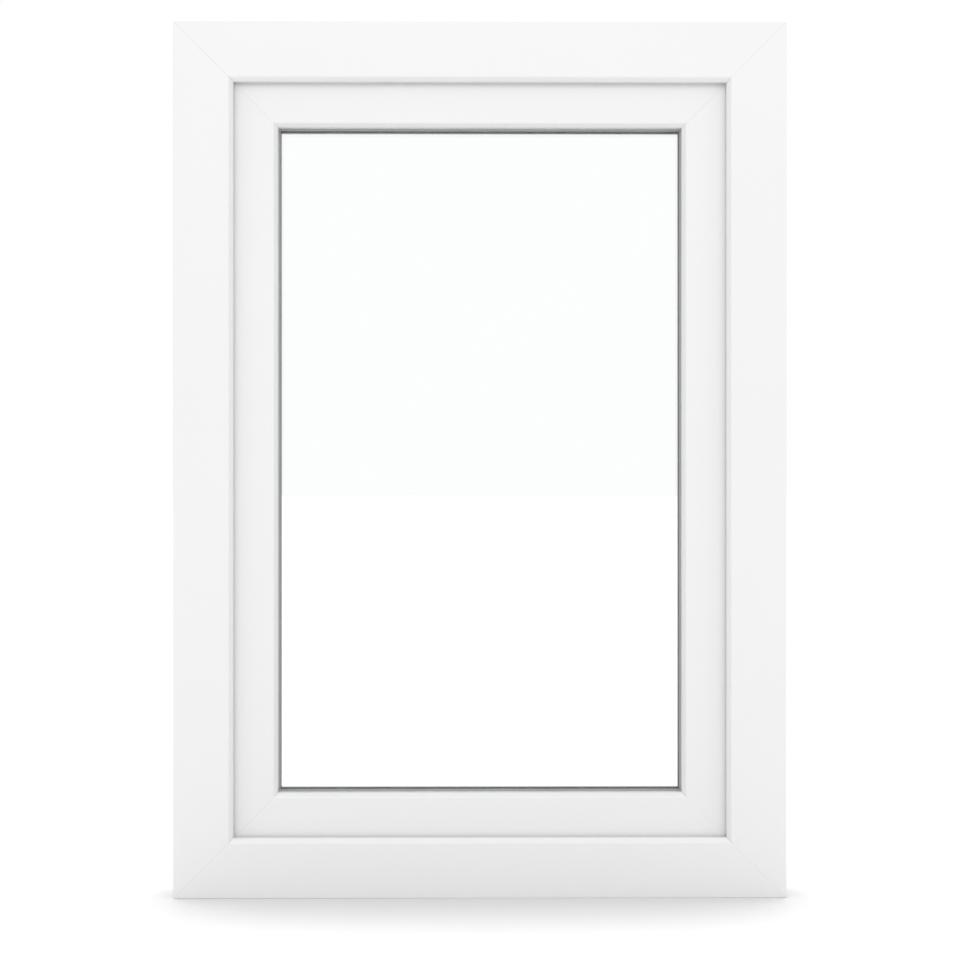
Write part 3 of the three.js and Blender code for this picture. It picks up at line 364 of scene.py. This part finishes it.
# ---- Sash seal ----
# The second soft lip, in the sash flange's groove, which closes on the frame's room side.
seal_ring("sash_flange_seal", [
    (FLANGE_SEAL_FOOT[0] + 0.3, FLANGE_BACK + 3), (FLANGE_SEAL_FOOT[0] + 0.3, FLANGE_BACK - 0.2),
    (FLANGE_SEAL_FOOT[0] - 1.4, FLANGE_BACK - 1.6), (FLANGE_SEAL_FOOT[0] - 0.4, INSIDE + 0.2),
    (FLANGE_SEAL_FOOT[1] - 0.2, INSIDE + 0.2), (FLANGE_SEAL_FOOT[1] + 0.8, FLANGE_BACK - 1.6),
    (FLANGE_SEAL_FOOT[1] - 0.3, FLANGE_BACK - 0.2), (FLANGE_SEAL_FOOT[1] - 0.3, FLANGE_BACK + 3),
], "sash", "sash_seal", [(0.4, [2, 3, 4, 5])])


# ---- Glass unit ----
# Two 4 mm panes of float glass with ground edges, 16 mm apart on a black spacer, and sealed round
# the edge. It stands on blocks in the sash.
clear_glass = bpy.data.materials.new("clear_float_glass")
clear_glass.use_nodes = True
glass_shader = clear_glass.node_tree.nodes["Principled BSDF"]
glass_shader.inputs["Base Color"].default_value = (0.985, 0.997, 0.992, 1)
glass_shader.inputs["Roughness"].default_value = 0.0
glass_shader.inputs["IOR"].default_value = 1.45
glass_shader.inputs["Transmission Weight"].default_value = 1.0
GROUND_EDGE = 0.0006


def box_between(bm, low, high):
    """A block between two corners, ready to be shaped."""
    block = bmesh.ops.create_cube(bm, size=1)["verts"]
    bmesh.ops.scale(bm, vec=high - low, verts=block)
    bmesh.ops.translate(bm, vec=(high + low) / 2, verts=block)
    return block


for pane in ("outer", "inner"):
    bm = bmesh.new()
    box_between(bm, *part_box(f"glass_{pane}_pane"))
    bmesh.ops.bevel(bm, geom=bm.edges[:], offset=GROUND_EDGE, segments=2, profile=0.5, affect="EDGES",
                    clamp_overlap=True, material=-1)
    finish_piece(f"{pane}_glass", bm, "sash", clear_glass, [f"glass_{pane}_pane"])

black_plastic = finished_material("black_spacer_plastic", (0.018, 0.018, 0.02), (0.03, 0.03, 0.032),
                                  (0.5, 0.65), grain=1800.0, cloud=30.0)
black_sealant = finished_material("black_edge_sealant", (0.01, 0.01, 0.011), (0.02, 0.02, 0.021),
                                  (0.6, 0.85), grain=500.0, cloud=60.0, bump=0.4, depth=0.0004)
block_plastic = finished_material("moulded_block_plastic", (0.04, 0.16, 0.42), (0.055, 0.2, 0.5),
                                  (0.45, 0.6), grain=700.0, cloud=50.0, bump=0.1)


def dress(nodes, material):
    """Gives CAD nodes, whose own shape is right, their finish."""
    for node in nodes:
        mesh = frame["nodes"][node].data
        mesh.materials.clear()
        mesh.materials.append(material)


dress(["glass_spacer"], black_plastic)
dress(["glass_edge_sealant"], black_sealant)
dress([n for n in frame["nodes"] if n.startswith("block_")], block_plastic)


# ---- Glazing gaskets ----
# Soft grey strips, one on the sash's lip outdoors and one on the beads indoors. The outdoor one
# shows 2 mm past the PVC and the indoor one 0.8 mm, each with a rounded nose.
GLASS_OUTSIDE = SASH_LIP_BACK + GASKET_GAP
GLASS_INSIDE = GLASS_OUTSIDE + GLASS_UNIT
seal_ring("outer_glazing_gasket", [
    (GLASS_SEAL_FOOT[0] + 0.3, SASH_LIP_BACK - 3), (GLASS_SEAL_FOOT[1] - 0.3, SASH_LIP_BACK - 3),
    (GLASS_SEAL_FOOT[1] - 0.3, SASH_LIP_BACK + 0.2), (SIGHT_LINE + 0.4, SASH_LIP_BACK + 0.2),
    (SIGHT_LINE + 2, SASH_LIP_BACK + 1.4), (SIGHT_LINE + 2, GLASS_OUTSIDE - 0.2),
    (GLASS_SEAL_FOOT[0] - 2.5, GLASS_OUTSIDE - 0.2), (GLASS_SEAL_FOOT[0] - 2.5, SASH_LIP_BACK + 1.4),
    (GLASS_SEAL_FOOT[0] + 0.3, SASH_LIP_BACK + 0.2),
], "sash", "glass_outer_gasket", [(0.5, [3, 4])])
seal_ring("bead_glazing_gasket", [
    (GLASS_SEAL_FOOT[0] + 0.3, BEAD_FRONT + 3), (GLASS_SEAL_FOOT[0] + 0.3, BEAD_FRONT - 0.2),
    (GLASS_SEAL_FOOT[0] - 2.5, BEAD_FRONT - 1.4), (GLASS_SEAL_FOOT[0] - 2.5, GLASS_INSIDE + 0.2),
    (SIGHT_LINE + 0.8, GLASS_INSIDE + 0.2), (SIGHT_LINE + 0.8, BEAD_FRONT - 1.4),
    (SIGHT_LINE + 0.2, BEAD_FRONT - 0.2), (GLASS_SEAL_FOOT[1] - 0.3, BEAD_FRONT - 0.2),
    (GLASS_SEAL_FOOT[1] - 0.3, BEAD_FRONT + 3),
], "sash", "glass_bead_gasket", [(0.5, [5, 6])])


# ---- Glazing beads ----
# Narrow white PVC strips that snap into the sash behind the glass. Their room side slopes towards
# the glass with softly rounded edges, and their corners are mitred but not welded.
bead_foot = GLAZING_REBATE + 0.2
bead_section = [
    (bead_foot, BEAD_FRONT), (GLASS_SEAL_FOOT[0], BEAD_FRONT),
    (GLASS_SEAL_FOOT[0], BEAD_FRONT + SEAL_GROOVE), (GLASS_SEAL_FOOT[1], BEAD_FRONT + SEAL_GROOVE),
    (GLASS_SEAL_FOOT[1], BEAD_FRONT), (SIGHT_LINE, BEAD_FRONT),
    (SIGHT_LINE, SASH_INSIDE - 12), (SIGHT_LINE - 9, SASH_INSIDE - 0.2), (bead_foot, SASH_INSIDE - 0.2),
]
bead_rounds = [(4, [6, 7]), (0.5, [5, 8])]
for side, bead in (("sill", "bottom"), ("head", "top"), ("hinge", "hinge_side"), ("lock", "lock_side")):
    shape = mitred_bar(bead_section, bead_rounds, side, weld=0.35)
    finish_piece(f"glazing_bead_{bead}", shape, "sash", PVC[side], [f"bead_{bead}"],
                 side_matrix(side))


# ---- Steel channels ----
# Galvanised steel U channels slid into the large chambers of all eight bars and screwed there. The
# zinc has a cloudy bloom.
galvanised = finished_material("galvanised_steel", (0.46, 0.48, 0.5), (0.66, 0.68, 0.7), (0.35, 0.55),
                               grain=60.0, cloud=35.0, bump=0.03, metallic=1.0)
dress([n for n in frame["nodes"] if n.endswith("_steel")], galvanised)


# ---- Locking gear ----
# Zinc-plated steel: the faceplate in the sash's groove, the rod and cams behind it, and the
# pinion. The gear case and the keepers on the frame are die-cast zinc. Screws hold all of them.
plated_steel = finished_material("zinc_plated_steel", (0.56, 0.57, 0.58), (0.66, 0.67, 0.68),
                                 (0.22, 0.38), stretch=(1, 1, 1 / DRAWN_LINE), grain=1600.0, cloud=20.0,
                                 bump=0.08, metallic=1.0)
cast_zinc = finished_material("die_cast_zinc", (0.4, 0.41, 0.42), (0.5, 0.51, 0.52), (0.42, 0.6),
                              grain=1200.0, cloud=45.0, bump=0.15, metallic=0.9)
dress(["lock_faceplate", "drive_rod", "cam_top", "cam_middle", "cam_bottom", "drive_pinion",
       "handle_spindle", "handle_upper_screw", "handle_lower_screw",
       "hinge_lower_pin", "hinge_upper_pin"], plated_steel)
dress(["gear_case", "handle_base", "keeper_top", "keeper_middle", "keeper_bottom"], cast_zinc)


def screw_head(bm, matrix, radius, height):
    """A low domed head with a six-lobed socket. It points along the matrix's +Z."""
    head = bmesh.ops.create_circle(bm, cap_ends=True, segments=36, radius=radius)["verts"]
    drawn = bmesh.ops.extrude_face_region(bm, geom=head[0].link_faces[:], use_keep_orig=True)["geom"]
    made = set(head)
    top = next(f for f in drawn if isinstance(f, bmesh.types.BMFace))
    for inward, rise in ((0, 0.45), (0.12, 0.35), (0.25, 0.2), (0.08, 0)):
        if inward:
            rim = bmesh.ops.inset_region(bm, faces=[top], thickness=radius * inward, depth=0)["faces"]
            made.update(v for f in rim for v in f.verts)
        bmesh.ops.translate(bm, verts=top.verts, vec=(0, 0, height * rise))
        made.update(top.verts)
    for v in top.verts:
        v.co.xy *= 0.88 + 0.12 * math.cos(6 * math.atan2(v.co.y, v.co.x))
    drawn = bmesh.ops.extrude_face_region(bm, geom=[top])["geom"]
    floor = [v for v in drawn if isinstance(v, bmesh.types.BMVert)]
    bmesh.ops.translate(bm, verts=floor, vec=(0, 0, -height * 0.7))
    made.update(floor)
    bmesh.ops.transform(bm, matrix=matrix, verts=list(made))


def screws(name, body, places, turn, radius=0.0032, height=0.0007):
    """Several screw heads in one piece. Each place is a point, and turn faces them."""
    bm = bmesh.new()
    for place in places:
        screw_head(bm, Matrix.Translation(place) @ turn, radius, height)
    return finish_piece(name, bm, body, plated_steel)


plate_low, plate_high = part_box("lock_faceplate")
PLATE_MIDDLE = (plate_low.y + plate_high.y) / 2
plate_screws = [Vector((plate_high.x, PLATE_MIDDLE, z)) for z in (0.1, 0.26, 0.4, 0.6, 0.74, 0.9)]
screws("faceplate_screws", "sash", plate_screws, Matrix.Rotation(math.pi / 2, 4, "Y"))
KEEPER_BASE = 0.0018
KEEPER_SCREW_INSET = 0.008
keeper_screws = []
for keeper in ("keeper_top", "keeper_middle", "keeper_bottom"):
    low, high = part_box(keeper)
    seat = high.x - KEEPER_BASE
    keeper_screws += [Vector((seat, GROOVE_AXIS * MM, z))
                      for z in (low.z + KEEPER_SCREW_INSET, high.z - KEEPER_SCREW_INSET)]
screws("keeper_screws", "frame", keeper_screws, Matrix.Rotation(-math.pi / 2, 4, "Y"))


# ---- Hinges ----
# Coated steel brackets with a steel pin through their knuckles, hidden under two white moulded
# covers on each hinge. The covers snap on, and follow the knuckle and the flat bracket.
white_coat = finished_material("white_powder_coat", (0.728, 0.728, 0.726), (0.748, 0.748, 0.746),
                               (0.28, 0.42), grain=1500.0, cloud=18.0, bump=0.12)
dress([n for n in frame["nodes"] if n.startswith("hinge_") and n.endswith("_bracket")], white_coat)
hinge = next(j for j in frame["joints"] if j["name"] == "sash_hinge")
HINGE_X, HINGE_Y = hinge["pos_m"][0], hinge["pos_m"][1]
COVER_RADIUS = 0.008
COVER_LEAF = 0.0047
for corner in ("lower", "upper"):
    for half in ("frame", "sash"):
        low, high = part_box(f"hinge_{corner}_{half}_cover")
        bm = bmesh.new()
        barrel = bmesh.ops.create_circle(bm, cap_ends=True, segments=40, radius=COVER_RADIUS)["verts"]
        bmesh.ops.translate(bm, verts=barrel, vec=(HINGE_X, HINGE_Y, low.z))
        extrude_along(bm, 0, high.z - low.z)
        rims = [e for e in bm.edges if abs(e.verts[0].co.z - e.verts[1].co.z) < 1e-6]
        bmesh.ops.bevel(bm, geom=rims, offset=0.0012, segments=4, profile=0.5, affect="EDGES",
                        clamp_overlap=True, material=-1)
        leaf_low = Vector((low.x if half == "frame" else HINGE_X, low.y, low.z))
        leaf_high = Vector((HINGE_X if half == "frame" else high.x, high.y, high.z))
        if half == "frame":
            leaf_high.y = low.y + COVER_LEAF
        else:
            leaf_low.y = SASH_INSIDE * MM + 0.0002
        leaf = box_between(bm, leaf_low, leaf_high)
        edges = list({e for v in leaf for e in v.link_edges})
        bmesh.ops.bevel(bm, geom=edges, offset=0.0016, segments=4, profile=0.5, affect="EDGES",
                        clamp_overlap=True, material=-1)
        finish_piece(f"hinge_{corner}_{half}_snap_cover", bm, half, white_coat,
                     [f"hinge_{corner}_{half}_cover"])


# ---- Handle ----
# White coated die-cast lever on a round-ended rose. Its round neck turns in the rose, bends over
# in one smooth elbow and tapers to a flat oval grip with a rounded end.
turn = next(j for j in frame["joints"] if j["name"] == "handle_turn")
SPINDLE_X, SPINDLE_Z = turn["pos_m"][0], turn["pos_m"][2]
cap_low, cap_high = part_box("handle_cap")
lever_low, lever_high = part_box("handle_lever")
ROSE_RADIUS = (cap_high.x - cap_low.x) / 2
ROSE_STRAIGHT = (cap_high.z - cap_low.z) / 2 - ROSE_RADIUS
NECK_RADIUS = 0.0095


def stadium(bm, radius, straight, segments=64):
    """A ring of points with two straight sides and two round ends, in the X and Z plane."""
    ring = bmesh.ops.create_circle(bm, segments=segments, radius=radius)["verts"]
    bmesh.ops.rotate(bm, verts=ring, matrix=Matrix.Rotation(math.pi / 2 + math.pi / segments, 3, "Z"))
    bmesh.ops.rotate(bm, verts=ring, matrix=Matrix.Rotation(math.pi / 2, 3, "X"))
    for v in ring:
        v.co.z += math.copysign(straight, v.co.z)
    return ring


bm = bmesh.new()
stadium(bm, ROSE_RADIUS, ROSE_STRAIGHT)
stadium(bm, NECK_RADIUS + 0.0004, 0)
bmesh.ops.bridge_loops(bm, edges=bm.edges[:])
bmesh.ops.translate(bm, verts=bm.verts, vec=(SPINDLE_X, cap_low.y, SPINDLE_Z))
drawn = bmesh.ops.extrude_face_region(bm, geom=bm.faces[:], use_keep_orig=True)["geom"]
top = [v for v in drawn if isinstance(v, bmesh.types.BMVert)]
bmesh.ops.translate(bm, verts=top, vec=(0, cap_high.y - cap_low.y, 0))
top_edges = [e for e in bm.edges
             if all(v.co.y > cap_high.y - 1e-6 for v in e.verts) and len(e.link_faces) == 2
             and any(abs(f.normal.y) < 0.5 for f in e.link_faces)]
bmesh.ops.bevel(bm, geom=top_edges, offset=0.0022, segments=5, profile=0.5, affect="EDGES",
                clamp_overlap=True, material=-1)
finish_piece("handle_rose", bm, "sash", white_coat, ["handle_cap"])

# Stations down the middle of the lever: how far out, how far up, turn, half width, half thickness.
GRIP_HALF = 0.006
ELBOW = 0.0085
grip_line = lever_high.y - GRIP_HALF - 0.0002
grip_end = lever_high.z - SPINDLE_Z
stations = [
    (lever_low.y, 0, 0, NECK_RADIUS, NECK_RADIUS),
    (lever_low.y + 0.013, 0, 0, NECK_RADIUS, NECK_RADIUS),
    (lever_low.y + 0.018, 0, 0, 0.0085, 0.0085),
]
for step in range(9):
    bend = math.radians(90) * step / 8
    share = step / 8
    stations.append((grip_line - ELBOW + ELBOW * math.sin(bend), ELBOW * (1 - math.cos(bend)), bend,
                     0.0085 + 0.0015 * share, 0.0085 + (GRIP_HALF - 0.0085) * share))
for along, wide in ((0.03, 0.0105), (0.06, 0.0105), (0.09, 0.0098)):
    stations.append((grip_line, along, math.radians(90), wide, GRIP_HALF))
ROUND_END = 0.009
for step in range(1, 8):
    angle = math.radians(90) * step / 8
    shrink = math.cos(angle)
    along = grip_end - ROUND_END + ROUND_END * math.sin(angle)
    stations.append((grip_line, along, math.radians(90), 0.0088 * shrink, GRIP_HALF * shrink ** 0.6))

bm = bmesh.new()
ring = bmesh.ops.create_circle(bm, segments=32, radius=1)["verts"]
edges = bm.edges[:]
placed = Matrix.Identity(4)
for number, (out, up, bend, wide, thick) in enumerate(stations):
    place = (Matrix.Translation((SPINDLE_X, out, SPINDLE_Z + up))
             @ Matrix.Rotation(bend - math.pi / 2, 4, "X")
             @ Matrix.Diagonal((wide, thick, 1, 1)))
    if number:
        drawn = bmesh.ops.extrude_edge_only(bm, edges=edges)["geom"]
        ring = [v for v in drawn if isinstance(v, bmesh.types.BMVert)]
        edges = [e for e in drawn if isinstance(e, bmesh.types.BMEdge)]
    bmesh.ops.transform(bm, matrix=place @ placed.inverted(), verts=ring)
    placed = place
bmesh.ops.holes_fill(bm, edges=bm.edges[:], sides=0)
finish_piece("handle_grip_lever", bm, "handle", white_coat, ["handle_lever"],
             smooth_below=50)


# ---- Floor, light and camera ----
# A plain pale floor and a white sky, with a level camera in front. A broad soft light overhead lights
# the floor alone, for the shadow under the sill. Two weak fills, overhead and in front, light the rest.
floor_material = finished_material("studio_floor", (0.585, 0.585, 0.585), (0.59, 0.59, 0.59), (0.8, 0.85),
                                   bump=0.0)
floor_bm = bmesh.new()
bmesh.ops.create_grid(floor_bm, x_segments=1, y_segments=1, size=60)
floor_mesh = bpy.data.meshes.new("studio_floor")
floor_bm.to_mesh(floor_mesh)
floor_bm.free()
floor_mesh.materials.append(floor_material)
floor = bpy.data.objects.new("studio_floor", floor_mesh)
floor.location.z = -0.00005
bpy.context.scene.collection.objects.link(floor)
floor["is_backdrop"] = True

world = bpy.data.worlds.new("studio_world")
bpy.context.scene.world = world
world.use_nodes = True
world.node_tree.nodes["Background"].inputs["Color"].default_value = (1, 1, 1, 1)
world.node_tree.nodes["Background"].inputs["Strength"].default_value = 1.0
floor_only = bpy.data.collections.new("floor_only")
floor_only.objects.link(floor)
for name, strength, spread, lean, floor_is_lit in (
    ("overhead_softbox", 2.35, 19, -5.5, True),
    ("overhead_fill", 0.5, 25, 0, False),
    ("front_fill", 0.5, 24, 66, False),
):
    softbox = bpy.data.lights.new(name, "SUN")
    softbox.energy = strength
    softbox.angle = math.radians(spread)
    softbox_object = bpy.data.objects.new(name, softbox)
    softbox_object.rotation_euler.x = math.radians(lean)
    bpy.context.scene.collection.objects.link(softbox_object)
    if floor_is_lit:
        softbox_object.light_linking.receiver_collection = floor_only

CAMERA_DISTANCE = 2.4
camera = bpy.data.cameras.new("camera")
camera.sensor_width = 36
camera.lens = 78.9
camera_object = bpy.data.objects.new("camera", camera)
camera_object.location = (-0.019, OUTSIDE * MM - CAMERA_DISTANCE, 0.477)
camera_object.rotation_euler = (math.radians(90), 0, -math.radians(0.45))
bpy.context.scene.collection.objects.link(camera_object)
bpy.context.scene.camera = camera_object
bpy.context.scene.view_settings.view_transform = "Standard"

low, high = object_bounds()
